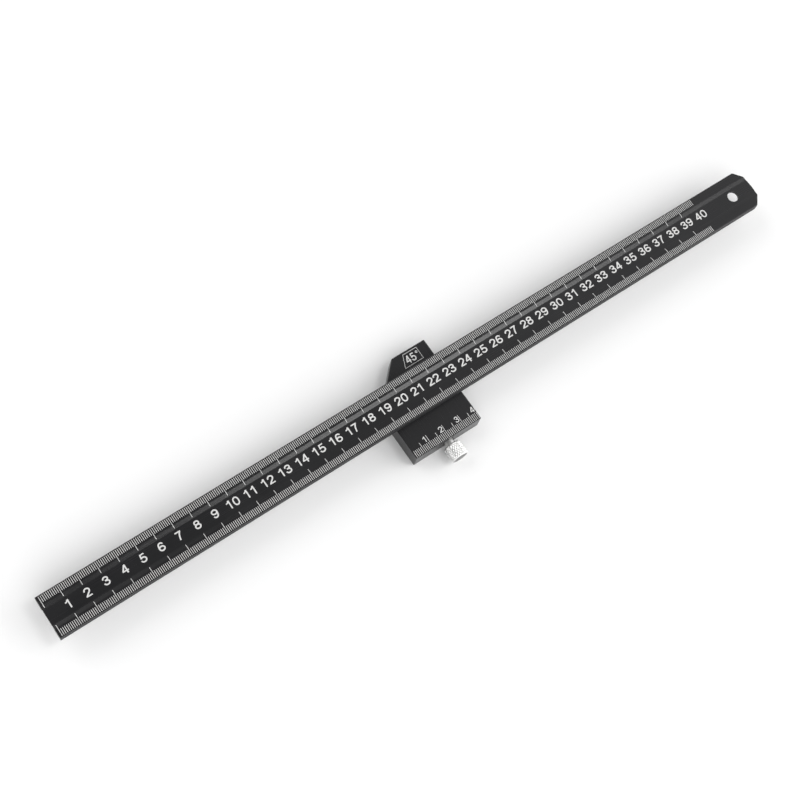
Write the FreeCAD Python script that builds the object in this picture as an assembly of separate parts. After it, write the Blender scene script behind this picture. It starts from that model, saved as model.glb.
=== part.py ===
import FreeCAD, Part
import math
import os

# Sliding ruler gauge: a graduated rule that slides on a clamping block with a square end and a 45 degree corner.
# Units are millimetres. The origin is on the rule's centre line, midway along the block and on its base face.
# +X runs along the rule, away from the zero of its scale. +Y goes to the side with the 45 degree corner.

# Rule: an extrusion with a shallow recess along its top and an undercut groove along its underside.
RULE_WIDTH = 22.8
RULE_THICKNESS = 5.0
RULE_BEFORE_ZERO = 1.5           # bare metal before the scale's zero
RULE_AFTER_ZERO = 436.2          # scale's zero to the tip of the rounded end
ZERO_TO_BLOCK_CENTRE = 210.15    # where the block is clamped, read on the rule's scale
RULE_EDGE = 0.3                  # chamfer along the rule's long edges
END_CORNER_LENGTH = 4.9          # cut corners of the rounded end, along the rule
END_CORNER_WIDTH = 5.0           # and across it
END_CROWN = 0.7                  # how far the end bulges between its cut corners
RECESS_FLOOR_HALF = 4.3
RECESS_MOUTH_HALF = 6.4
RECESS_DEPTH = 0.5
RECESS_SHOULDER = 2.0            # radius where the recess meets the rule's flat top
WEB_THICKNESS = 1.6              # metal left between the recess and the groove
GROOVE_MOUTH_HALF = 5.6
DOVETAIL_ANGLE = 60.0            # flank angle of groove, tongue and jaw, from the horizontal
HANG_HOLE_RADIUS = 3.1
HANG_HOLE_FROM_ZERO = 423.0

# Block: cut from an extrusion whose top carries a dovetail tongue.
BLOCK_LENGTH = 40.4              # along the rule
BLOCK_FRONT = -28.4              # face with the thumb screw
BLOCK_BACK = 22.25
BLOCK_HEIGHT = 10.5
BEVEL_LEG = 19.95                # both legs of the 45 degree corner
BLOCK_EDGE = 0.3
RULE_LIFT = 0.05                 # sliding gap between the block's top and the rule
TONGUE_HEIGHT = 2.4
TONGUE_SIDE_GAP = 0.06

# Clamp: the screw pushes a jaw in a pocket of the block, and the jaw presses on one flank of the rule's groove.
JAW_HALF_LENGTH = 8.0            # along the rule
JAW_BACK = 0.4                   # face that the screw pushes
JAW_FOOT_FRONT = 6.4             # far side of the jaw's foot
JAW_BOTTOM = 1.8
JAW_SHOULDER = 10.3              # top of the foot, below the rule
JAW_FLANK_GAP = 0.02
JAW_TRAVEL = 0.8                 # one turn of the screw
POCKET_GAP = 0.2
POCKET_END_GAP = 0.1
SCREW_X = 0.6                    # the screw sits a little off the block's middle
SCREW_HEIGHT = 5.25
SCREW_RADIUS = 2.5
SCREW_HOLE_RADIUS = 2.55
SCREW_MOUTH_CHAMFER = 0.5
SCREW_PUSH_GAP = 0.05            # end of the thread to the jaw
TIP_NECK_RADIUS = 1.2
TIP_NECK_END = 2.1
TIP_BUTTON_RADIUS = 1.9
TIP_BUTTON_END = 3.7
TIP_EDGE = 0.3
SLOT_NECK_HALF = 1.35            # T-slot that drops over the screw's tip
SLOT_STEP = 2.0
SLOT_BUTTON_HALF = 2.1
SLOT_END = 3.9
NECK_SHOWING = 2.5               # neck between the block and the knob
KNOB_RADIUS = 4.75
KNOB_LENGTH = 8.0
KNOB_CHAMFER = 0.6
SPIGOT_RADIUS = 2.0              # the stud's end, pressed into the knob
SPIGOT_LENGTH = 6.0

# Worked-out places.
RULE_HALF = RULE_WIDTH / 2
RULE_BOTTOM = BLOCK_HEIGHT + RULE_LIFT
RULE_TOP = RULE_BOTTOM + RULE_THICKNESS
RECESS_FLOOR = RULE_TOP - RECESS_DEPTH
GROOVE_TOP = RECESS_FLOOR - WEB_THICKNESS
RULE_START = -ZERO_TO_BLOCK_CENTRE - RULE_BEFORE_ZERO
RULE_TIP = RULE_AFTER_ZERO - ZERO_TO_BLOCK_CENTRE
HANG_HOLE_X = HANG_HOLE_FROM_ZERO - ZERO_TO_BLOCK_CENTRE
BLOCK_HALF = BLOCK_LENGTH / 2
TONGUE_TOP = BLOCK_HEIGHT + TONGUE_HEIGHT
KNOB_TOP_FACE = BLOCK_FRONT - NECK_SHOWING
KNOB_END_FACE = KNOB_TOP_FACE - KNOB_LENGTH
OVERSHOOT = 1.0                  # how far a cutter runs past the face it opens


def vector(x, y, z):
    return FreeCAD.Vector(x, y, z)


def box(x_low, x_high, y_low, y_high, z_low, z_high):
    return Part.makeBox(x_high - x_low, y_high - y_low, z_high - z_low, vector(x_low, y_low, z_low))


def prism_along_x(section, x_low, x_high):
    """Extrude a closed outline of (y, z) points along X."""
    points = [vector(x_low, y, z) for y, z in section]
    face = Part.Face(Part.makePolygon(points + points[:1]))
    return face.extrude(vector(x_high - x_low, 0, 0))


def cylinder_along_y(radius, y_low, y_high):
    """A cylinder on the thumb screw's axis."""
    return Part.makeCylinder(radius, y_high - y_low, vector(SCREW_X, y_low, SCREW_HEIGHT), vector(0, 1, 0))


def flank_y(z):
    """Half width of the groove under the rule at a height."""
    return GROOVE_MOUTH_HALF + (z - RULE_BOTTOM) / math.tan(math.radians(DOVETAIL_ANGLE))


def rule_section():
    """Half of the rule's section from its bottom edge to its top recess, then the mirrored half."""
    right = [
        (flank_y(GROOVE_TOP), GROOVE_TOP),
        (GROOVE_MOUTH_HALF, RULE_BOTTOM),
        (RULE_HALF - RULE_EDGE, RULE_BOTTOM),
        (RULE_HALF, RULE_BOTTOM + RULE_EDGE),
        (RULE_HALF, RULE_TOP - RULE_EDGE),
        (RULE_HALF - RULE_EDGE, RULE_TOP),
        (RECESS_MOUTH_HALF, RULE_TOP),
        (RECESS_FLOOR_HALF, RECESS_FLOOR),
    ]
    left = [(-y, z) for y, z in reversed(right)]
    return right + left


def rule_end_cutter():
    """Plan outline of the rule: square at the start, cut corners and a crowned end at the tip."""
    side = RULE_HALF + OVERSHOOT
    corner_x = RULE_TIP - END_CROWN
    corner_y = RULE_HALF - END_CORNER_WIDTH
    slope = END_CORNER_LENGTH - END_CROWN
    far_x = corner_x - slope * (1 + OVERSHOOT / END_CORNER_WIDTH)
    outline = [
        Part.makePolygon([
            vector(corner_x, corner_y, 0),
            vector(far_x, side, 0),
            vector(RULE_START, side, 0),
            vector(RULE_START, -side, 0),
            vector(far_x, -side, 0),
            vector(corner_x, -corner_y, 0),
        ]),
        Part.Arc(
            vector(corner_x, -corner_y, 0),
            vector(RULE_TIP, 0, 0),
            vector(corner_x, corner_y, 0),
        ).toShape(),
    ]
    edges = outline[0].Edges + [outline[1]]
    return Part.Face(Part.Wire(Part.__sortEdges__(edges))).extrude(vector(0, 0, RULE_TOP + OVERSHOOT))


def is_recess_shoulder(edge):
    """True for the two long edges where the recess meets the flat top."""
    middle = edge.CenterOfMass
    return abs(middle.z - RULE_TOP) < 0.001 and abs(abs(middle.y) - RECESS_MOUTH_HALF) < 0.001


def ruler_bar():
    bar = prism_along_x(rule_section(), RULE_START, RULE_TIP)
    bar = bar.makeFillet(RECESS_SHOULDER, [edge for edge in bar.Edges if is_recess_shoulder(edge)])
    bar = bar.common(rule_end_cutter())
    hole = Part.makeCylinder(HANG_HOLE_RADIUS, RULE_THICKNESS, vector(HANG_HOLE_X, 0, RULE_BOTTOM))
    return bar.cut(hole)


def block_body():
    """The block before its tongue and cut-outs, with every edge broken."""
    outline = [
        vector(BLOCK_HALF, BLOCK_FRONT, 0),
        vector(BLOCK_HALF, BLOCK_BACK, 0),
        vector(-BLOCK_HALF + BEVEL_LEG, BLOCK_BACK, 0),
        vector(-BLOCK_HALF, BLOCK_BACK - BEVEL_LEG, 0),
        vector(-BLOCK_HALF, BLOCK_FRONT, 0),
    ]
    body = Part.Face(Part.makePolygon(outline + outline[:1])).extrude(vector(0, 0, BLOCK_HEIGHT))
    return body.makeChamfer(BLOCK_EDGE, body.Edges)


def tongue():
    """Dovetail tongue that fills the mouth of the rule's groove, apart from a sliding gap."""
    base_half = flank_y(BLOCK_HEIGHT) - TONGUE_SIDE_GAP
    top_half = flank_y(TONGUE_TOP) - TONGUE_SIDE_GAP
    section = [
        (-base_half, BLOCK_HEIGHT),
        (base_half, BLOCK_HEIGHT),
        (top_half, TONGUE_TOP),
        (-top_half, TONGUE_TOP),
    ]
    return prism_along_x(section, -BLOCK_HALF + BLOCK_EDGE, BLOCK_HALF - BLOCK_EDGE)


def jaw_pocket():
    """Pocket for the jaw's foot, and the window through the tongue for its head."""
    half = JAW_HALF_LENGTH + POCKET_END_GAP
    back = JAW_BACK - JAW_TRAVEL - POCKET_GAP
    foot = box(-half, half, back, JAW_FOOT_FRONT + 2 * POCKET_GAP, JAW_BOTTOM - POCKET_GAP, BLOCK_HEIGHT)
    window = box(-half, half, back, RULE_HALF, BLOCK_HEIGHT, TONGUE_TOP + OVERSHOOT)
    return foot.fuse(window)


def screw_hole():
    """Hole for the thumb screw from the front face to the pocket, with a countersunk mouth."""
    hole = cylinder_along_y(SCREW_HOLE_RADIUS, BLOCK_FRONT - OVERSHOOT, JAW_BACK)
    mouth = Part.makeCone(
        SCREW_HOLE_RADIUS + SCREW_MOUTH_CHAMFER,
        SCREW_HOLE_RADIUS,
        SCREW_MOUTH_CHAMFER,
        vector(SCREW_X, BLOCK_FRONT, SCREW_HEIGHT),
        vector(0, 1, 0),
    )
    return hole.fuse(mouth)


def slider_block():
    block = block_body().fuse(tongue())
    return block.cut(jaw_pocket()).cut(screw_hole()).removeSplitter()


def jaw_slot(half, y_low, y_high):
    """One width of the jaw's T-slot, open at the jaw's underside and centred on the screw."""
    return box(SCREW_X - half, SCREW_X + half, y_low, y_high, JAW_BOTTOM - OVERSHOOT, SCREW_HEIGHT + half)


def clamp_jaw():
    """Jaw with a foot in the pocket and a dovetail head in the groove. Its T-slot drops over the screw's tip."""
    shoulder_y = flank_y(JAW_SHOULDER) - JAW_FLANK_GAP
    head_y = flank_y(TONGUE_TOP) - JAW_FLANK_GAP
    section = [
        (JAW_BACK, JAW_BOTTOM),
        (JAW_FOOT_FRONT, JAW_BOTTOM),
        (JAW_FOOT_FRONT, JAW_SHOULDER),
        (shoulder_y, JAW_SHOULDER),
        (head_y, TONGUE_TOP),
        (JAW_BACK, TONGUE_TOP),
    ]
    jaw = prism_along_x(section, -JAW_HALF_LENGTH, JAW_HALF_LENGTH)
    neck_slot = jaw_slot(SLOT_NECK_HALF, JAW_BACK - OVERSHOOT, SLOT_STEP)
    button_slot = jaw_slot(SLOT_BUTTON_HALF, SLOT_STEP, SLOT_END)
    return jaw.cut(neck_slot.fuse(button_slot))


def clamp_screw():
    """Stud: a spigot in the knob, the shank through the block, and a necked button that holds the jaw."""
    shank_end = JAW_BACK - SCREW_PUSH_GAP
    spigot = cylinder_along_y(SPIGOT_RADIUS, KNOB_TOP_FACE - SPIGOT_LENGTH, KNOB_TOP_FACE)
    shank = cylinder_along_y(SCREW_RADIUS, KNOB_TOP_FACE, shank_end)
    neck = cylinder_along_y(TIP_NECK_RADIUS, shank_end, TIP_NECK_END)
    button = cylinder_along_y(TIP_BUTTON_RADIUS, TIP_NECK_END, TIP_BUTTON_END)
    end_edges = [edge for edge in button.Edges if edge.BoundBox.YMin > TIP_BUTTON_END - TIP_EDGE]
    button = button.makeChamfer(TIP_EDGE, end_edges)
    return spigot.fuse([shank, neck, button]).removeSplitter()


def clamp_knob():
    knob = cylinder_along_y(KNOB_RADIUS, KNOB_END_FACE, KNOB_TOP_FACE)
    rims = [edge for edge in knob.Edges if edge.BoundBox.YLength < KNOB_CHAMFER]
    knob = knob.makeChamfer(KNOB_CHAMFER, rims)
    return knob.cut(cylinder_along_y(SPIGOT_RADIUS, KNOB_TOP_FACE - SPIGOT_LENGTH, KNOB_TOP_FACE))


SUBPARTS = {
    "ruler_bar": ruler_bar,
    "slider_block": slider_block,
    "clamp_jaw": clamp_jaw,
    "clamp_screw": clamp_screw,
    "clamp_knob": clamp_knob,
}

os.makedirs("parts", exist_ok=True)
for name, make in SUBPARTS.items():
    shape = make()
    shape.exportStep("parts/" + name + ".step")
    print(name, "solids", len(shape.Solids), "valid", shape.isValid(), "volume", round(shape.Volume, 1))
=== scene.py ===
import math
import bpy
from mathutils import Matrix, Vector
from mathutils.geometry import delaunay_2d_cdt


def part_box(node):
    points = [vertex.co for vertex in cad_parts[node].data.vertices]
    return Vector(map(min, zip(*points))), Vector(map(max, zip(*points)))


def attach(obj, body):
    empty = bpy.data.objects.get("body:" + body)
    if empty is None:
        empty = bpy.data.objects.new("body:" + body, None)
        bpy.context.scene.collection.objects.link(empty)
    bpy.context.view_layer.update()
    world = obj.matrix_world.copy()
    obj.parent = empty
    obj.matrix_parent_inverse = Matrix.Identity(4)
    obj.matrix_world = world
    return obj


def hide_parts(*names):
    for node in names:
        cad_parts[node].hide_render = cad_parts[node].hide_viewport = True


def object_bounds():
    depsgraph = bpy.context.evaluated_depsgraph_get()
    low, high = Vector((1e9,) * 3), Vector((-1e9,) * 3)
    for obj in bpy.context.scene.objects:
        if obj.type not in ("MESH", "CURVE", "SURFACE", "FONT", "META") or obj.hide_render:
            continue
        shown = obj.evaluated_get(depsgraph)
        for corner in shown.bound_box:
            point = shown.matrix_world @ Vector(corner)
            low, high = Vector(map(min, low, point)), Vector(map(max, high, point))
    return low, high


# The looks of a sliding ruler gauge: black anodised rule and block with pale engraved scales, and a bright
# knurled thumb screw. Everything is in metres in the CAD frame: +X runs along the rule, and +Z is up.

MM = 0.001

# Section of the rule's top: a flat land on each side, and a shallow recess between sloped walls.
RECESS_FLOOR_HALF = 4.3 * MM
RECESS_MOUTH_HALF = 6.4 * MM
RECESS_DEPTH = 0.5 * MM
RULE_LIFT = 0.05 * MM  # sliding gap between the block's top and the rule

# Engraved marks are thin slabs that stand a hair proud of the metal and sink a little into it.
MARK_RISE = 0.012 * MM
MARK_SINK = 0.01 * MM
TICK_WIDTH = 0.26 * MM

# Scale of the rule, measured from the rule's centre line.
BARE_START = 1.5 * MM
RULE_CENTIMETRES = 40
TICKS_PER_CENTIMETRE = 10
TICKS_PER_HALF = 5
PITCH = 1 * MM
TICK_OUTER = 10.85 * MM
TICK_INNER = 7.44 * MM
LONG_TICK_INNER = 4.85 * MM
RULE_DIGIT_HEIGHT = 4.45 * MM
RULE_DIGIT_BASE = -1.7 * MM

# Scale of the block, measured from the block's front face.
BLOCK_ZERO = 0.8 * MM
BLOCK_TICK_WIDTH = 0.24 * MM
BLOCK_TICK_START = 0.3 * MM
BLOCK_TICK_END = 4.0 * MM
BLOCK_HALF_TICK_END = 6.1 * MM
BLOCK_LONG_TICK_END = 7.8 * MM
BLOCK_DIGIT_HEIGHT = 3.2 * MM
BLOCK_DIGIT_BASE = 4.5 * MM
BLOCK_DIGIT_SHIFT = -1.65 * MM
BLOCK_DIGIT_NARROW = 0.93
BLOCK_DIGIT_MARGIN = 0.45 * MM

# Label of the 45 degree corner, from the block's centre and the rule's centre line. Pairs are in millimetres.
LABEL_CORNERS = ((2.9, 14.0), (14.2, 14.1), (14.2, 20.9), (5.9, 20.9))
LABEL_LINE = 0.21 * MM
LABEL_DIGIT_HEIGHT = 4.4 * MM
LABEL_DIGIT_CENTRE = 8.4 * MM
LABEL_DIGIT_BASE = 15.2 * MM
LABEL_DIGIT_NARROW = 0.82
LABEL_RING_CENTRE = (12.85, 18.8)
LABEL_RING_RADIUS = 0.5 * MM
LABEL_RING_LINE = 0.34 * MM

# Digits are drawn in a box one unit high. Some level strokes are a little lighter than the stems.
DIGIT_WIDTH = 0.74
DIGIT_ADVANCE = 0.865
BOLD_WEIGHT = 0.157
LIGHT_WEIGHT = 0.14
LEVEL_SHARE = 0.9
ZERO_FULLNESS = 2.35
CURVE_STEPS = 10
RING_STEPS = 40
MERGE_TOLERANCE = 1e-5

# Knob. The knurl is two families of V cuts that cross, so that its peaks are small pyramids with blunt tips.
KNURLS = 24
KNURL_ROWS = 7  # half knurls along the knob
KNURL_FINE = 5  # mesh steps in half a knurl
KNURL_DEPTH = 0.31 * MM
KNURL_CREST = 1.12  # over 1, so that the pyramids' tips are cut flat
KNOB_CHAMFER = 0.65 * MM
KNOB_DISH_RADIUS = 3.7 * MM
KNOB_DISH_FLOOR_RADIUS = 1.6 * MM
KNOB_DISH_DEPTH = 0.9 * MM
KNOB_END_FACING = -0.8  # faces whose normal has a lower Y belong to the dished end, which has painted shade
KNOB_SMOOTH_ANGLE = 12

# Stud, from the knob's bore to the button that the jaw holds.
BORE_RADIUS = 2.0 * MM
BORE_DEPTH = 6.0 * MM
SHANK_RADIUS = 2.5 * MM
THREAD_PITCH = 0.8 * MM
THREAD_DEPTH = 0.4 * MM
THREAD_CREST_SHARE = 1 / 8  # share of the pitch that the flat crest takes
THREAD_RUN_OUT = 1.2 * MM
THREAD_STEPS = 8
SCREW_SECTORS = 64
STUD_SMOOTH_ANGLE = 35
TIP_NECK_RADIUS = 1.2 * MM
TIP_NECK_LENGTH = 1.75 * MM
TIP_BUTTON_RADIUS = 1.9 * MM
TIP_BUTTON_LENGTH = 1.6 * MM
SMALL_EDGE = 0.15 * MM

# Colours are linear. Each pair is the two ends that a material's clouding runs between.
RULE_BLACK = ((0.008, 0.008, 0.009), (0.013, 0.013, 0.014))
BLOCK_BLACK = ((0.008, 0.008, 0.009), (0.012, 0.012, 0.013))
ENGRAVED_GREY = ((0.60, 0.60, 0.595), (0.72, 0.72, 0.71))
KNOB_BRIGHT = ((0.76, 0.76, 0.75), (0.82, 0.82, 0.81))
# The knob's dished end is painted a darker grey than the rest of the knob: painted shade for the shaded floor
# that the end mirrors.
KNOB_END_PAINTED_SHADE = ((0.28, 0.28, 0.275), (0.34, 0.34, 0.335))
STUD_STEEL = ((0.80, 0.80, 0.79), (0.88, 0.88, 0.87))
JAW_BRASS = ((0.62, 0.44, 0.19), (0.78, 0.59, 0.30))
FLOOR_WHITE = (0.93, 0.93, 0.93, 1)

# Roughness. A pair is the two ends that the noise runs between.
ANODISED_ROUGHNESS = (0.22, 0.28)
RULE_SIDE_ROUGHNESS = 0.68
BLOCK_SIDE_ROUGHNESS = 0.28
ENGRAVED_ROUGHNESS = (0.65, 0.5)
KNOB_ROUGHNESS = 0.33
STUD_ROUGHNESS = 0.36
TURNED_ROUGHNESS_BELOW = 0.05
TURNED_ROUGHNESS_ABOVE = 0.06
BRASS_ROUGHNESS = (0.25, 0.42)
FLOOR_ROUGHNESS = 0.9

# Noise scales: the larger, the finer.
ETCHED_GRAIN = 9000
DRAWN_LINES = 2500
ANODISED_CLOUDS = 35
ENGRAVED_PATCHES = 1800
TURNED_RINGS = 9000
SMUDGES = 400
MILLED_LINES = 4000
STAINS = 250

# How lines are drawn out: a small number stretches the noise along that axis.
EXTRUDED_ALONG_X = (0.01, 1, 1)
CUT_ALONG_Y = (1, 0.02, 1)
MILLED_ALONG_X = (0.05, 1, 1)

# Bump heights, and radii that soften the look of sharp edges.
DRAWN_LINES_HEIGHT = 0.004 * MM
ETCHED_HEIGHT = 0.006 * MM
ENGRAVED_HEIGHT = 0.003 * MM
KNOB_RINGS_HEIGHT = 0.002 * MM
KNOB_END_RINGS_HEIGHT = 0.004 * MM
STUD_RINGS_HEIGHT = 0.003 * MM
MILLED_HEIGHT = 0.006 * MM
ANODISED_EDGE = 0.1 * MM
TURNED_EDGE = 0.05 * MM
MILLED_EDGE = 0.08 * MM
EDGE_SAMPLES = 4
SIDE_FACING = (0.8, 0.95)  # the normal's Y where a face starts to count as a side, and counts in full

FLOOR_HALF = 2.0  # half the floor's side, in metres

# Camera. Angles are in degrees and the lens and sensor in millimetres, as Blender has them.
CAMERA_AZIMUTH = -55.23
CAMERA_ELEVATION = 67.77
CAMERA_ROLL = 21.55
CAMERA_DISTANCE = 0.775
CAMERA_LENS = 69.75
CAMERA_SENSOR = 36.0
CAMERA_CLIP = (0.01, 50.0)
CAMERA_TARGET_X = -11.06 * MM
CAMERA_TARGET_Y = 0.44 * MM

# Light, as radiance: 1 is a white surface in even light. As a direction's Z rises, a white sweep behind the
# floor fades into the walls, and the walls fade into the ceiling. Walls and ceiling brighten as its X rises.
WALL_SPAN = (-0.8, 0.6)
WALL_RADIANCE = (0.5, 1.05)
SWEEP_FADE = (0.0, 0.08)
SWEEP_RADIANCE = 1.15
WALL_FADE = (0.40, 0.70)
CEILING_SPAN = (0.10, 0.70)
CEILING_RADIANCE = (0.18, 0.85)
# Each light: its direction, its distance in metres, its half angle in degrees and its radiance.
LIGHTS = {
    "overhead": ((0.34, -0.225, 0.91), 6.0, 9.0, 6.0),
    "right": ((0.80, -0.50, 0.33), 4.0, 28.0, 1.8),
    "back": ((-0.40, 0.75, 0.53), 4.0, 28.0, 1.5),
    "front": ((-0.25, -0.75, 0.61), 4.0, 29.0, 1.7),
}


def new_mesh_piece(name, points, faces, body, slot, material, smooth_angle=None):
    """A mesh object that rides on a CAD body."""
    mesh = bpy.data.meshes.new(name)
    mesh.from_pydata([tuple(p) for p in points], [], faces)
    mesh.validate()
    mesh.update()
    if smooth_angle is not None:
        for polygon in mesh.polygons:
            polygon.use_smooth = True
        mesh.set_sharp_from_angle(angle=math.radians(smooth_angle))
    mesh.materials.append(material)
    piece = bpy.data.objects.new(name, mesh)
    bpy.context.scene.collection.objects.link(piece)
    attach(piece, body)
    return piece


# ---------------------------------------------------------------- flat outlines

def bar(x_low, y_low, x_high, y_high):
    """One rectangle, as a list of polygons."""
    return [[(x_low, y_low), (x_high, y_low), (x_high, y_high), (x_low, y_high)]]


def bezier(start, control_a, control_b, end):
    """Points along a cubic curve, without its first point."""
    points = []
    for step in range(1, CURVE_STEPS + 1):
        t = step / CURVE_STEPS
        weights = ((1 - t) ** 3, 3 * t * (1 - t) ** 2, 3 * t * t * (1 - t), t ** 3)
        points.append(tuple(
            sum(w * p[axis] for w, p in zip(weights, (start, control_a, control_b, end))) for axis in (0, 1)
        ))
    return points


def stroke(width, path, closed=False):
    """Quads that follow a path of points at an even width, with mitred corners."""
    points = [Vector(p) for p in path]
    count = len(points)
    left, right = [], []
    for i, point in enumerate(points):
        into = (point - points[i - 1]).normalized() if i or closed else None
        out = (points[(i + 1) % count] - point).normalized() if i < count - 1 or closed else None
        along = ((into or out) + (out or into)).normalized()
        side = Vector((-along.y, along.x)) * width / 2
        if into and out:
            side /= along.dot(into)
        left.append(point + side)
        right.append(point - side)
    spans = range(count if closed else count - 1)
    return [[right[i], right[(i + 1) % count], left[(i + 1) % count], left[i]] for i in spans]


def curve(width, start, *bends):
    """A stroke through cubic bends, each given as two control points and an end."""
    path = [start]
    for control_a, control_b, end in bends:
        path += bezier(path[-1], control_a, control_b, end)
    return stroke(width, path)


def ring(centre_x, centre_y, radius_x, radius_y, width, fullness=2.0):
    """A closed oval stroke. A fullness over 2 squares the oval off."""
    path = []
    for step in range(RING_STEPS):
        angle = 2 * math.pi * step / RING_STEPS
        c, s = math.cos(angle), math.sin(angle)
        x = math.copysign(abs(c) ** (2 / fullness), c)
        y = math.copysign(abs(s) ** (2 / fullness), s)
        path.append((centre_x + radius_x * x, centre_y + radius_y * y))
    return stroke(width, path, closed=True)


def turned(polygons):
    """Polygons of a digit, turned half a turn about the digit's middle."""
    return [[(DIGIT_WIDTH - x, 1 - y) for x, y in polygon] for polygon in polygons]


def digit_shapes(stem):
    """The ten digits as lists of polygons in a box one unit high, with strokes of width stem."""
    level = stem * LEVEL_SHARE
    mid = DIGIT_WIDTH / 2
    low, high = level / 2, 1 - level / 2
    left, right = stem / 2, DIGIT_WIDTH - stem / 2
    six = ring(0.375, 0.31, 0.372 - left, 0.31 - low, stem) + curve(
        stem, (left, 0.30), ((left, 0.69), (0.16, high), (0.39, high)),
        ((0.53, high), (0.61, 0.86), (0.632, 0.745)),
    )
    return {
        "0": ring(mid, 0.5, mid - left, 0.5 - low, stem, ZERO_FULLNESS),
        "1": bar(0.475 - stem / 2, 0, 0.475 + stem / 2, 1)
        + curve(level, (0.10, 0.735), ((0.26, 0.745), (0.375, 0.80), (0.43, 0.985))),
        "2": curve(
            stem, (left + 0.01, 0.655), ((left + 0.01, 0.82), (0.21, high), (0.365, high)),
            ((0.525, high), (right, 0.82), (right, 0.695)),
            ((right, 0.53), (0.49, 0.43), (0.36, 0.325)), ((0.23, 0.22), (0.13, 0.15), (0.11, 0.02)),
        ) + bar(0.022, 0, 0.72, level),
        "3": curve(
            stem, (left + 0.02, 0.70), ((left + 0.035, 0.84), (0.22, high), (0.36, high)),
            ((0.51, high), (right - 0.035, 0.845), (right - 0.035, 0.735)),
            ((right - 0.035, 0.61), (0.52, 0.54), (0.25, 0.54)),
        ) + curve(
            stem, (0.25, 0.54), ((0.55, 0.54), (right, 0.42), (right, 0.295)),
            ((right, 0.16), (0.52, low), (0.365, low)), ((0.20, low), (left + 0.01, 0.17), (left, 0.305)),
        ),
        "4": bar(0.615 - stem, 0, 0.615, 1) + bar(0.01, 0.235, 0.74, 0.235 + level)
        + [[(0.01, 0.375), (0.19, 0.375), (0.616 - stem, 0.735), (0.616 - stem, 1.0), (0.43, 1.0)]],
        "5": bar(0.14, 1 - level, 0.67, 1)
        + [[(0.14, 1.0), (0.285, 1.0), (0.24, 0.55), (0.075, 0.455)]]
        + curve(
            stem, (0.13, 0.475), ((0.19, 0.56), (0.26, 0.585), (0.36, 0.585)),
            ((0.54, 0.585), (right, 0.47), (right, 0.335)),
            ((right, 0.18), (0.53, low), (0.36, low)), ((0.20, low), (left + 0.01, 0.16), (left, 0.285)),
        ),
        "6": six,
        "7": bar(0.03, 1 - level, 0.71, 1)
        + curve(stem, (0.635, 0.92), ((0.45, 0.72), (0.31, 0.42), (0.275, 0.0))),
        "8": ring(mid, 0.73, 0.33 - left, 0.27 - low, stem) + ring(mid, 0.30, mid - left, 0.30 - low, stem),
        "9": turned(six),
    }


def number_polygons(text, shapes, height, centre_x, base_y, narrow=1.0):
    """Polygons of a number, centred on centre_x and standing on base_y."""
    advance = DIGIT_ADVANCE * height * narrow
    start = centre_x - advance * len(text) / 2 + (DIGIT_ADVANCE - DIGIT_WIDTH) / 2 * height * narrow
    polygons = []
    for place, digit in enumerate(text):
        x_low = start + place * advance
        for polygon in shapes[digit]:
            polygons.append([(x_low + x * height * narrow, base_y + y * height) for x, y in polygon])
    return polygons


# ---------------------------------------------------------------- thin engraved slabs

def merged(polygons, scale=MM):
    """Points and triangles that cover overlapping flat polygons once. The work is done at about unit size."""
    points, faces = [], []
    for polygon in polygons:
        corners = [Vector(p) / scale for p in polygon]
        area = sum(a.x * b.y - a.y * b.x for a, b in zip(corners, corners[1:] + corners[:1]))
        if area < 0:
            corners.reverse()
        faces.append(list(range(len(points), len(points) + len(corners))))
        points += corners
    found, _, triangles, _, _, origins = delaunay_2d_cdt(points, [], faces, 0, MERGE_TOLERANCE)
    kept = [tuple(t) for t, origin in zip(triangles, origins) if origin]
    return [p * scale for p in found], kept


def slab(points, triangles, height_at):
    """A closed thin slab over flat triangles. height_at(x, y) is the metal's surface."""
    used = sorted({i for t in triangles for i in t})
    place = {old: new for new, old in enumerate(used)}
    flat = [points[i] for i in used]
    triangles = [tuple(place[i] for i in t) for t in triangles]
    count = len(flat)
    top = [(p.x, p.y, height_at(p.x, p.y) + MARK_RISE) for p in flat]
    bottom = [(p.x, p.y, height_at(p.x, p.y) - MARK_SINK) for p in flat]
    edges = {(t[i], t[(i + 1) % 3]) for t in triangles for i in range(3)}
    rim = [(a, b) for a, b in edges if (b, a) not in edges]
    faces = list(triangles)
    faces += [tuple(i + count for i in reversed(t)) for t in triangles]
    faces += [(b, a, a + count, b + count) for a, b in sorted(rim)]
    return top + bottom, faces


def joined(solids):
    """Several (points, faces) solids as one."""
    points, faces = [], []
    for some_points, some_faces in solids:
        offset = len(points)
        points += some_points
        faces += [tuple(i + offset for i in face) for face in some_faces]
    return points, faces


def tick(x, width, y_stops, height_at):
    """One line across the scale: a thin slab through the given y values, in rising order."""
    stops = [(x + side * width / 2, y) for y in y_stops for side in (-1, 1)]
    points = [Vector(p) for p in stops]
    triangles = []
    for i in range(0, len(points) - 2, 2):
        triangles += [(i, i + 1, i + 3), (i, i + 3, i + 2)]
    return slab(points, triangles, height_at)


def number_slabs(numbers, height_at):
    """One slab for each list of polygons."""
    return joined([slab(*merged(polygons), height_at) for polygons in numbers])


# ---------------------------------------------------------------- the rule's scale

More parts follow.
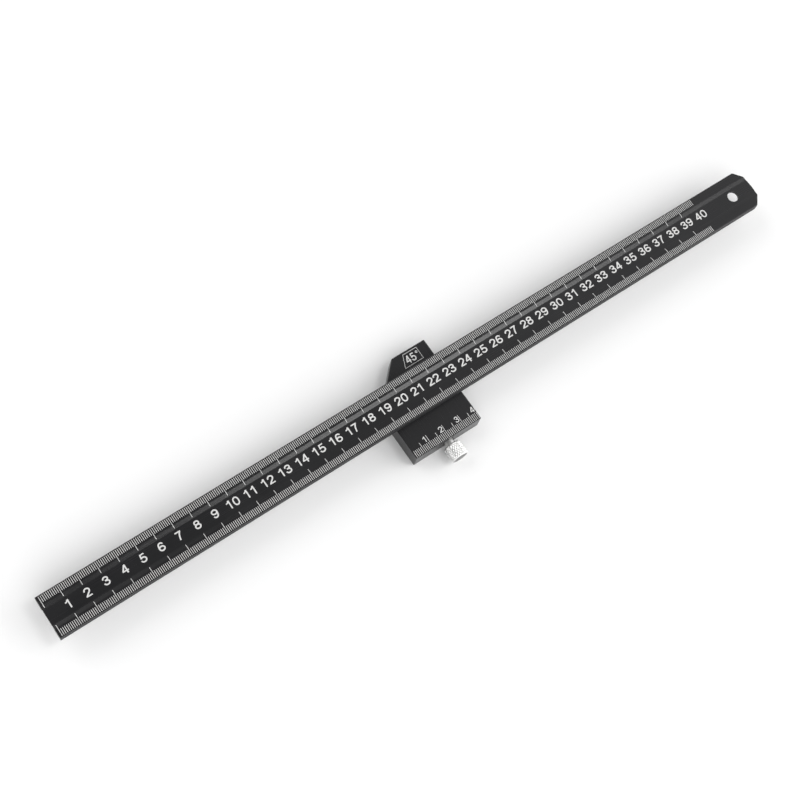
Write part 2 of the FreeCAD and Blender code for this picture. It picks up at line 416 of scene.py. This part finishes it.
def rule_marks(material):
    """Millimetre ticks along both edges of the rule, and the numbers in its recess."""
    low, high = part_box("ruler_bar")
    zero_x = low.x + BARE_START
    centre_y = (low.y + high.y) / 2

    def surface(_, y):
        across = abs(y - centre_y)
        share = (RECESS_MOUTH_HALF - across) / (RECESS_MOUTH_HALF - RECESS_FLOOR_HALF)
        return high.z - RECESS_DEPTH * min(max(share, 0), 1)

    ticks = []
    for count in range(RULE_CENTIMETRES * TICKS_PER_CENTIMETRE + 1):
        is_long = count % TICKS_PER_CENTIMETRE == 0 and count < RULE_CENTIMETRES * TICKS_PER_CENTIMETRE
        stops = [TICK_OUTER, RECESS_MOUTH_HALF, LONG_TICK_INNER] if is_long else [TICK_OUTER, TICK_INNER]
        x = zero_x + count * PITCH
        ticks.append(tick(x, TICK_WIDTH, [centre_y - y for y in stops], surface))
        ticks.append(tick(x, TICK_WIDTH, [centre_y + y for y in reversed(stops)], surface))
    new_mesh_piece("rule_ticks", *joined(ticks), "ruler", "scale_marks", material)

    shapes = digit_shapes(BOLD_WEIGHT)
    numbers = [
        number_polygons(
            str(n), shapes, RULE_DIGIT_HEIGHT,
            zero_x + n * TICKS_PER_CENTIMETRE * PITCH, centre_y + RULE_DIGIT_BASE,
        )
        for n in range(1, RULE_CENTIMETRES + 1)
    ]
    new_mesh_piece("rule_numbers", *number_slabs(numbers, surface), "ruler", "scale_marks", material)


# ---------------------------------------------------------------- the block's scale and label

def block_top():
    """Height of the block's flat top, which the rule slides on."""
    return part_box("ruler_bar")[0].z - RULE_LIFT


def block_marks(material):
    """The short scale along the block's front edge, and the framed label by its 45 degree corner."""
    low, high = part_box("slider_block")
    top = block_top()

    def surface(_x, _y):
        return top

    zero_x = low.x + BLOCK_ZERO
    length = high.x - zero_x
    ticks = []
    for count in range(int(length / PITCH) + 1):
        end = BLOCK_TICK_END
        if count % TICKS_PER_HALF == 0 and count:
            end = BLOCK_HALF_TICK_END
        if count % TICKS_PER_CENTIMETRE == 0 and count:
            end = BLOCK_LONG_TICK_END
        stops = [low.y + BLOCK_TICK_START, low.y + end]
        ticks.append(tick(zero_x + count * PITCH, BLOCK_TICK_WIDTH, stops, surface))
    new_mesh_piece("block_ticks", *joined(ticks), "slider_block", "scale_marks", material)

    shapes = digit_shapes(LIGHT_WEIGHT)
    half_width = DIGIT_WIDTH / 2 * BLOCK_DIGIT_HEIGHT * BLOCK_DIGIT_NARROW
    numbers = []
    for n in range(1, int(length / PITCH / TICKS_PER_CENTIMETRE) + 2):
        wanted_x = zero_x + n * TICKS_PER_CENTIMETRE * PITCH + BLOCK_DIGIT_SHIFT
        centre_x = min(wanted_x, high.x - BLOCK_DIGIT_MARGIN - half_width)
        numbers.append(number_polygons(
            str(n), shapes, BLOCK_DIGIT_HEIGHT, centre_x, low.y + BLOCK_DIGIT_BASE, BLOCK_DIGIT_NARROW,
        ))
    new_mesh_piece("block_numbers", *number_slabs(numbers, surface), "slider_block", "scale_marks", material)

    frame_lines = stroke(LABEL_LINE, [(x * MM, y * MM) for x, y in LABEL_CORNERS], closed=True)
    digits = number_polygons(
        "45", digit_shapes(BOLD_WEIGHT), LABEL_DIGIT_HEIGHT,
        LABEL_DIGIT_CENTRE, LABEL_DIGIT_BASE, LABEL_DIGIT_NARROW,
    )
    ring_x, ring_y = LABEL_RING_CENTRE
    degree = ring(ring_x * MM, ring_y * MM, LABEL_RING_RADIUS, LABEL_RING_RADIUS, LABEL_RING_LINE)
    slabs = number_slabs([frame_lines, digits, degree], surface)
    new_mesh_piece("angle_label", *slabs, "slider_block", "scale_marks", material)


# ---------------------------------------------------------------- the thumb screw

def revolve(profile, sectors, axis_x, axis_z, radius_at, diagonal_at=None):
    """A closed solid of revolution about a line along Y.

    The profile of (y, radius) starts and ends on the axis. Its outer side runs towards -Y, so faces look out.
    radius_at(row, y, radius, sector) may cut into the radius. diagonal_at(row, sector) may say how the quad
    from that row to the next is split: 1 from its first corner to its third, -1 from its second to its
    fourth, and 0 to leave it whole.
    """
    points, rings = [], []
    for row, (y, radius) in enumerate(profile):
        if radius == 0:
            rings.append([len(points)])
            points.append((axis_x, y, axis_z))
            continue
        rings.append(list(range(len(points), len(points) + sectors)))
        for sector in range(sectors):
            angle = 2 * math.pi * sector / sectors
            r = radius_at(row, y, radius, sector)
            points.append((axis_x + r * math.cos(angle), y, axis_z + r * math.sin(angle)))
    faces = []
    for row, (a, b) in enumerate(zip(rings, rings[1:])):
        for sector in range(sectors):
            after = (sector + 1) % sectors
            if len(a) == 1:
                faces.append((a[0], b[after], b[sector]))
                continue
            if len(b) == 1:
                faces.append((a[sector], a[after], b[0]))
                continue
            quad = (a[sector], a[after], b[after], b[sector])
            diagonal = diagonal_at(row, sector) if diagonal_at else 0
            if diagonal > 0:
                faces += [(quad[0], quad[1], quad[2]), (quad[0], quad[2], quad[3])]
            elif diagonal < 0:
                faces += [(quad[0], quad[1], quad[3]), (quad[1], quad[2], quad[3])]
            else:
                faces.append(quad)
    return points, faces


def axis_of(node):
    """Where a turned CAD node's centre line along Y lies, as x and z."""
    low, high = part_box(node)
    return (low.x + high.x) / 2, (low.z + high.z) / 2


def wave(turns):
    """A triangle wave: 0 at whole turns and 1 half way between."""
    return 1 - abs(2 * (turns % 1) - 1)


def knob(material, end_shade_material):
    """Knob with a bore for the stud, a diamond knurl, a chamfer at both ends, and a dished end painted darker
    as shade.
    """
    low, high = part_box("clamp_knob")
    radius = (high.x - low.x) / 2
    end, back = low.y, high.y
    rows = KNURL_ROWS * KNURL_FINE
    profile = [
        (back - BORE_DEPTH, 0),
        (back - BORE_DEPTH, BORE_RADIUS),
        (back, BORE_RADIUS),
        (back, radius - KNOB_CHAMFER - SMALL_EDGE),
    ]
    first = len(profile)
    for row in range(rows + 1):
        from_end = min(row, rows - row) / rows * (back - end)
        profile.append((back + (end - back) * row / rows, radius - max(0.0, KNOB_CHAMFER - from_end)))
    last = len(profile) - 1
    profile += [
        (end, KNOB_DISH_RADIUS),
        (end + KNOB_DISH_DEPTH, KNOB_DISH_FLOOR_RADIUS),
        (end + KNOB_DISH_DEPTH, 0),
    ]

    def knurled(row, _y, r, sector):
        if not first <= row <= last:
            return r
        turn, step = sector / (2 * KNURL_FINE), (row - first) / (2 * KNURL_FINE)
        height = min(wave(turn + step), wave(turn - step)) * KNURL_CREST
        return min(r, radius - KNURL_DEPTH * (1 - min(height, 1)))

    def diagonal(row, sector):
        if not first <= row < last:
            return 0
        return 1 if ((row - first) // KNURL_FINE + sector // KNURL_FINE) % 2 == 0 else -1

    mesh = revolve(profile, 2 * KNURLS * KNURL_FINE, *axis_of("clamp_knob"), knurled, diagonal)
    piece = new_mesh_piece("knurled_knob", *mesh, "thumb_screw", "bright_steel", material, KNOB_SMOOTH_ANGLE)
    # The dished end's faces take the darker material, which paints shade on them.
    piece.data.materials.append(end_shade_material)
    for polygon in piece.data.polygons:
        if polygon.normal.y < KNOB_END_FACING and polygon.center.y < end + 2 * KNOB_DISH_DEPTH:
            polygon.material_index = 1
    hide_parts("clamp_knob")


def stud(material):
    """Stud with a plain neck under the knob, a rolled thread in the block and a necked button for the jaw."""
    low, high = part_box("clamp_screw")
    knob_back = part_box("clamp_knob")[1].y
    neck_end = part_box("slider_block")[0].y
    button_start = high.y - TIP_BUTTON_LENGTH
    shank_end = button_start - TIP_NECK_LENGTH

    def threaded(_row, y, r, sector):
        if not neck_end < y < shank_end or r < SHANK_RADIUS - THREAD_DEPTH:
            return r
        depth = wave(y / THREAD_PITCH - sector / SCREW_SECTORS)
        groove = max(0.0, 1 - (1 - depth) / (1 - THREAD_CREST_SHARE))
        fade = min(1.0, (y - neck_end) / THREAD_RUN_OUT)
        return min(r, SHANK_RADIUS - THREAD_DEPTH * groove * fade)

    profile = [
        (low.y, 0),
        (low.y, BORE_RADIUS - SMALL_EDGE),
        (low.y + SMALL_EDGE, BORE_RADIUS),
        (knob_back, BORE_RADIUS),
        (knob_back, SHANK_RADIUS - SMALL_EDGE),
        (knob_back + SMALL_EDGE, SHANK_RADIUS),
        (neck_end, SHANK_RADIUS),
    ]
    steps = int((shank_end - neck_end) / THREAD_PITCH * THREAD_STEPS)
    for step in range(1, steps):
        y = neck_end + (shank_end - neck_end) * step / steps
        profile.append((y, min(SHANK_RADIUS, SHANK_RADIUS - THREAD_DEPTH + shank_end - y)))
    profile += [
        (shank_end, SHANK_RADIUS - THREAD_DEPTH - SMALL_EDGE),
        (shank_end, TIP_NECK_RADIUS),
        (button_start, TIP_NECK_RADIUS),
        (button_start, TIP_BUTTON_RADIUS - SMALL_EDGE),
        (button_start + SMALL_EDGE, TIP_BUTTON_RADIUS),
        (high.y - 2 * SMALL_EDGE, TIP_BUTTON_RADIUS),
        (high.y, TIP_BUTTON_RADIUS - 2 * SMALL_EDGE),
        (high.y, 0),
    ]
    profile.reverse()
    mesh = revolve(profile, SCREW_SECTORS, *axis_of("clamp_screw"), threaded)
    piece = new_mesh_piece("threaded_stud", *mesh, "thumb_screw", "plain_steel", material, STUD_SMOOTH_ANGLE)
    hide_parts("clamp_screw")


# ---------------------------------------------------------------- materials

class Nodes:
    """A short way to write a material's nodes."""

    def __init__(self, name):
        self.material = bpy.data.materials.new(name)
        self.material.use_nodes = True
        self.tree = self.material.node_tree
        self.shader = self.tree.nodes["Principled BSDF"]
        self.place = self.add("ShaderNodeTexCoord").outputs["Object"]

    def add(self, kind, **settings):
        node = self.tree.nodes.new(kind)
        for key, value in settings.items():
            setattr(node, key, value)
        return node

    def link(self, source, target):
        self.tree.links.new(source, target)

    def stretched(self, scale):
        """Object coordinates scaled by (x, y, z)."""
        mapping = self.add("ShaderNodeMapping")
        mapping.inputs["Scale"].default_value = scale
        self.link(self.place, mapping.inputs["Vector"])
        return mapping.outputs["Vector"]

    def noise(self, scale, detail=3.0, stretch=(1, 1, 1)):
        """Noise with a grain of about 1 / scale metres."""
        node = self.add("ShaderNodeTexNoise")
        node.inputs["Scale"].default_value = scale
        node.inputs["Detail"].default_value = detail
        self.link(self.stretched(stretch), node.inputs["Vector"])
        return node.outputs["Fac"]

    def ramp(self, source, low, high, start=0.3, end=0.7):
        """A value or a colour that runs from low to high as the source goes from start to end."""
        if isinstance(low, (int, float)):
            node = self.add("ShaderNodeMapRange")
            for socket, value in (("From Min", start), ("From Max", end), ("To Min", low), ("To Max", high)):
                node.inputs[socket].default_value = value
            self.link(source, node.inputs["Value"])
            return node.outputs["Result"]
        node = self.add("ShaderNodeValToRGB")
        for stop, place, colour in zip(node.color_ramp.elements, (start, end), (low, high)):
            stop.position = place
            stop.color = (*colour, 1)
        self.link(source, node.inputs["Fac"])
        return node.outputs["Color"]

    def bump(self, height, distance, strength=1.0, normal=None):
        """A normal raised by a height, on top of another normal if one is given."""
        node = self.add("ShaderNodeBump")
        node.inputs["Distance"].default_value = distance
        node.inputs["Strength"].default_value = strength
        self.link(height, node.inputs["Height"])
        if normal is not None:
            self.link(normal, node.inputs["Normal"])
        return node.outputs["Normal"]

    def soft_edges(self, radius):
        """A normal that rounds sharp edges off."""
        node = self.add("ShaderNodeBevel", samples=EDGE_SAMPLES)
        node.inputs["Radius"].default_value = radius
        return node.outputs["Normal"]

    def facing_along_y(self):
        """1 where a face looks along Y, and 0 where it looks up or along the rule."""
        parts = self.add("ShaderNodeSeparateXYZ")
        self.link(self.tree.nodes["Texture Coordinate"].outputs["Normal"], parts.inputs["Vector"])
        size = self.add("ShaderNodeMath", operation="ABSOLUTE")
        self.link(parts.outputs["Y"], size.inputs[0])
        return self.ramp(size.outputs["Value"], 0.0, 1.0, *SIDE_FACING)

    def blend(self, share, start, end):
        """A value that goes from the start socket to the end number with the share."""
        node = self.add("ShaderNodeMix")
        self.link(share, node.inputs["Factor"])
        self.link(start, node.inputs["A"])
        node.inputs["B"].default_value = end
        return node.outputs["Result"]

    def finish(self, colour, roughness, normal, metallic=0.0):
        """Plugs the three sockets into the shader and returns the material."""
        self.link(colour, self.shader.inputs["Base Color"])
        self.link(roughness, self.shader.inputs["Roughness"])
        self.link(normal, self.shader.inputs["Normal"])
        self.shader.inputs["Metallic"].default_value = metallic
        return self.material


def anodised(name, colours, drawn, side_roughness):
    """Satin black anodised aluminium: a fine etched grain, and faint lines left by the die or the cutter.

    Faces that look along Y have side_roughness, for the coarser finish of an extrusion's sides.
    """
    nodes = Nodes(name)
    grain = nodes.noise(ETCHED_GRAIN, detail=2.0)
    lines = nodes.noise(DRAWN_LINES, detail=2.0, stretch=drawn)
    colour = nodes.ramp(nodes.noise(ANODISED_CLOUDS), *colours)
    satin = nodes.ramp(lines, *ANODISED_ROUGHNESS)
    roughness = nodes.blend(nodes.facing_along_y(), satin, side_roughness)
    normal = nodes.bump(lines, DRAWN_LINES_HEIGHT, strength=0.5, normal=nodes.soft_edges(ANODISED_EDGE))
    normal = nodes.bump(grain, ETCHED_HEIGHT, strength=0.5, normal=normal)
    return nodes.finish(colour, roughness, normal)


def engraving(name):
    """Pale laser engraving, slightly uneven."""
    nodes = Nodes(name)
    patches = nodes.noise(ENGRAVED_PATCHES)
    colour = nodes.ramp(patches, *ENGRAVED_GREY)
    roughness = nodes.ramp(patches, *ENGRAVED_ROUGHNESS)
    return nodes.finish(colour, roughness, nodes.bump(patches, ENGRAVED_HEIGHT))


def turned_metal(name, colours, roughness, rings_height):
    """Turned metal: fine rings about the thumb screw's centre line."""
    nodes = Nodes(name)
    offset = nodes.add("ShaderNodeVectorMath", operation="SUBTRACT")
    centre_x, centre_z = axis_of("clamp_screw")
    offset.inputs[1].default_value = (centre_x, 0, centre_z)
    nodes.link(nodes.place, offset.inputs[0])
    parts = nodes.add("ShaderNodeSeparateXYZ")
    nodes.link(offset.outputs["Vector"], parts.inputs["Vector"])
    flat = nodes.add("ShaderNodeCombineXYZ")
    nodes.link(parts.outputs["X"], flat.inputs["X"])
    nodes.link(parts.outputs["Z"], flat.inputs["Z"])
    length = nodes.add("ShaderNodeVectorMath", operation="LENGTH")
    nodes.link(flat.outputs["Vector"], length.inputs[0])
    mixed = nodes.add("ShaderNodeCombineXYZ")
    nodes.link(length.outputs["Value"], mixed.inputs["X"])
    nodes.link(parts.outputs["Y"], mixed.inputs["Y"])
    rings = nodes.add("ShaderNodeTexNoise")
    rings.inputs["Scale"].default_value = TURNED_RINGS
    rings.inputs["Detail"].default_value = 2.0
    nodes.link(mixed.outputs["Vector"], rings.inputs["Vector"])
    height = rings.outputs["Fac"]
    colour = nodes.ramp(nodes.noise(SMUDGES), *colours)
    rough = nodes.ramp(height, roughness - TURNED_ROUGHNESS_BELOW, roughness + TURNED_ROUGHNESS_ABOVE)
    normal = nodes.bump(height, rings_height, strength=0.6, normal=nodes.soft_edges(TURNED_EDGE))
    return nodes.finish(colour, rough, normal, metallic=1.0)


def milled_brass(name):
    """Brass with the lines of a milling cutter and faint stains."""
    nodes = Nodes(name)
    lines = nodes.noise(MILLED_LINES, detail=2.0, stretch=MILLED_ALONG_X)
    colour = nodes.ramp(nodes.noise(STAINS, detail=4.0), *JAW_BRASS)
    roughness = nodes.ramp(lines, *BRASS_ROUGHNESS)
    normal = nodes.bump(lines, MILLED_HEIGHT, strength=0.6, normal=nodes.soft_edges(MILLED_EDGE))
    return nodes.finish(colour, roughness, normal, metallic=1.0)


def paint_node(node, material):
    """Gives its finished material to a CAD node whose shape stays as it is."""
    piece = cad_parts[node]
    piece.data.materials.clear()
    piece.data.materials.append(material)


# ---------------------------------------------------------------- the room

def make_floor():
    """The white ground under the tool."""
    material = bpy.data.materials.new("pale_floor")
    material.use_nodes = True
    shader = material.node_tree.nodes["Principled BSDF"]
    shader.inputs["Base Color"].default_value = FLOOR_WHITE
    shader.inputs["Roughness"].default_value = FLOOR_ROUGHNESS
    corners = [(x * FLOOR_HALF, y * FLOOR_HALF, 0) for x, y in ((-1, -1), (1, -1), (1, 1), (-1, 1))]
    mesh = bpy.data.meshes.new("floor")
    mesh.from_pydata(corners, [], [(0, 1, 2, 3)])
    mesh.materials.append(material)
    floor = bpy.data.objects.new("floor", mesh)
    floor.location.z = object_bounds()[0].z
    bpy.context.scene.collection.objects.link(floor)


def make_light(name, direction, distance, half_angle, radiance):
    """A round area light that faces the object. Its power is its radiance times pi times its area."""
    radius = distance * math.tan(math.radians(half_angle))
    data = bpy.data.lights.new(name, "AREA")
    data.shape = "DISK"
    data.size = 2 * radius
    data.energy = radiance * math.pi * (math.pi * radius ** 2)
    light = bpy.data.objects.new(name, data)
    towards = Vector(direction).normalized()
    light.location = towards * distance
    light.rotation_mode = "QUATERNION"
    light.rotation_quaternion = towards.to_track_quat("Z", "Y")
    bpy.context.scene.collection.objects.link(light)


def make_world():
    """A white sweep round the floor, then walls and a dim ceiling that both grow brighter to the right."""
    world = bpy.data.worlds.new("studio")
    bpy.context.scene.world = world
    world.use_nodes = True
    tree = world.node_tree
    background = tree.nodes["Background"]
    background.inputs["Color"].default_value = (1, 1, 1, 1)
    place = tree.nodes.new("ShaderNodeTexCoord")
    parts = tree.nodes.new("ShaderNodeSeparateXYZ")
    tree.links.new(place.outputs["Generated"], parts.inputs["Vector"])

    def ramp(axis, span, values):
        """Runs smoothly between two values as a direction's part along an axis crosses a span."""
        node = tree.nodes.new("ShaderNodeMapRange")
        node.interpolation_type = "SMOOTHSTEP"
        for socket, value in zip(("From Min", "From Max", "To Min", "To Max"), (*span, *values)):
            node.inputs[socket].default_value = value
        tree.links.new(parts.outputs[axis], node.inputs["Value"])
        return node.outputs["Result"]

    def mix(share, start, end):
        """From the start socket to the end, which is a number or a socket."""
        node = tree.nodes.new("ShaderNodeMix")
        tree.links.new(share, node.inputs["Factor"])
        tree.links.new(start, node.inputs["A"])
        if isinstance(end, float):
            node.inputs["B"].default_value = end
        else:
            tree.links.new(end, node.inputs["B"])
        return node.outputs["Result"]

    ceiling = ramp("X", CEILING_SPAN, CEILING_RADIANCE)
    wall = ramp("X", WALL_SPAN, WALL_RADIANCE)
    room = mix(ramp("Z", WALL_FADE, (1, 0)), ceiling, wall)
    strength = mix(ramp("Z", SWEEP_FADE, (1, 0)), room, SWEEP_RADIANCE)
    tree.links.new(strength, background.inputs["Strength"])


def make_camera():
    """The camera looks at a point on the rule's top, and is rolled about its line of sight."""
    data = bpy.data.cameras.new("camera")
    data.sensor_width = CAMERA_SENSOR
    data.lens = CAMERA_LENS
    data.clip_start, data.clip_end = CAMERA_CLIP
    camera = bpy.data.objects.new("camera", data)
    azimuth, elevation = math.radians(CAMERA_AZIMUTH), math.radians(CAMERA_ELEVATION)
    back = Vector((
        math.sin(azimuth) * math.cos(elevation),
        -math.cos(azimuth) * math.cos(elevation),
        math.sin(elevation),
    ))
    target = Vector((CAMERA_TARGET_X, CAMERA_TARGET_Y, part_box("ruler_bar")[1].z))
    turn = (-back).to_track_quat("-Z", "Y").to_matrix().to_4x4()
    roll = Matrix.Rotation(math.radians(CAMERA_ROLL), 4, "Z")
    camera.matrix_world = Matrix.Translation(target + back * CAMERA_DISTANCE) @ turn @ roll
    bpy.context.scene.collection.objects.link(camera)
    bpy.context.scene.camera = camera


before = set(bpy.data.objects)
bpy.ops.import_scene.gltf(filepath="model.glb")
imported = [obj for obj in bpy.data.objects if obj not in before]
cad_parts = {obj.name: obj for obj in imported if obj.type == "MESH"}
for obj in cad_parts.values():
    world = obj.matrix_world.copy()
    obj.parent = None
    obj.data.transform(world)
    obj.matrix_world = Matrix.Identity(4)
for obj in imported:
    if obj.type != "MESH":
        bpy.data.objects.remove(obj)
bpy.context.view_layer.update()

marks = engraving("engraved_marks")
paint_node("ruler_bar", anodised("rule_black", RULE_BLACK, EXTRUDED_ALONG_X, RULE_SIDE_ROUGHNESS))
paint_node("slider_block", anodised("block_black", BLOCK_BLACK, CUT_ALONG_Y, BLOCK_SIDE_ROUGHNESS))
paint_node("clamp_jaw", milled_brass("jaw_brass"))
rule_marks(marks)
block_marks(marks)
knob(
    turned_metal("knob_bright", KNOB_BRIGHT, KNOB_ROUGHNESS, KNOB_RINGS_HEIGHT),
    turned_metal("knob_end_painted_shade", KNOB_END_PAINTED_SHADE, KNOB_ROUGHNESS, KNOB_END_RINGS_HEIGHT),
)
stud(turned_metal("stud_steel", STUD_STEEL, STUD_ROUGHNESS, STUD_RINGS_HEIGHT))

make_floor()
make_world()
for name, light in LIGHTS.items():
    make_light(name, *light)
make_camera()
bpy.context.scene.view_settings.view_transform = "Standard"
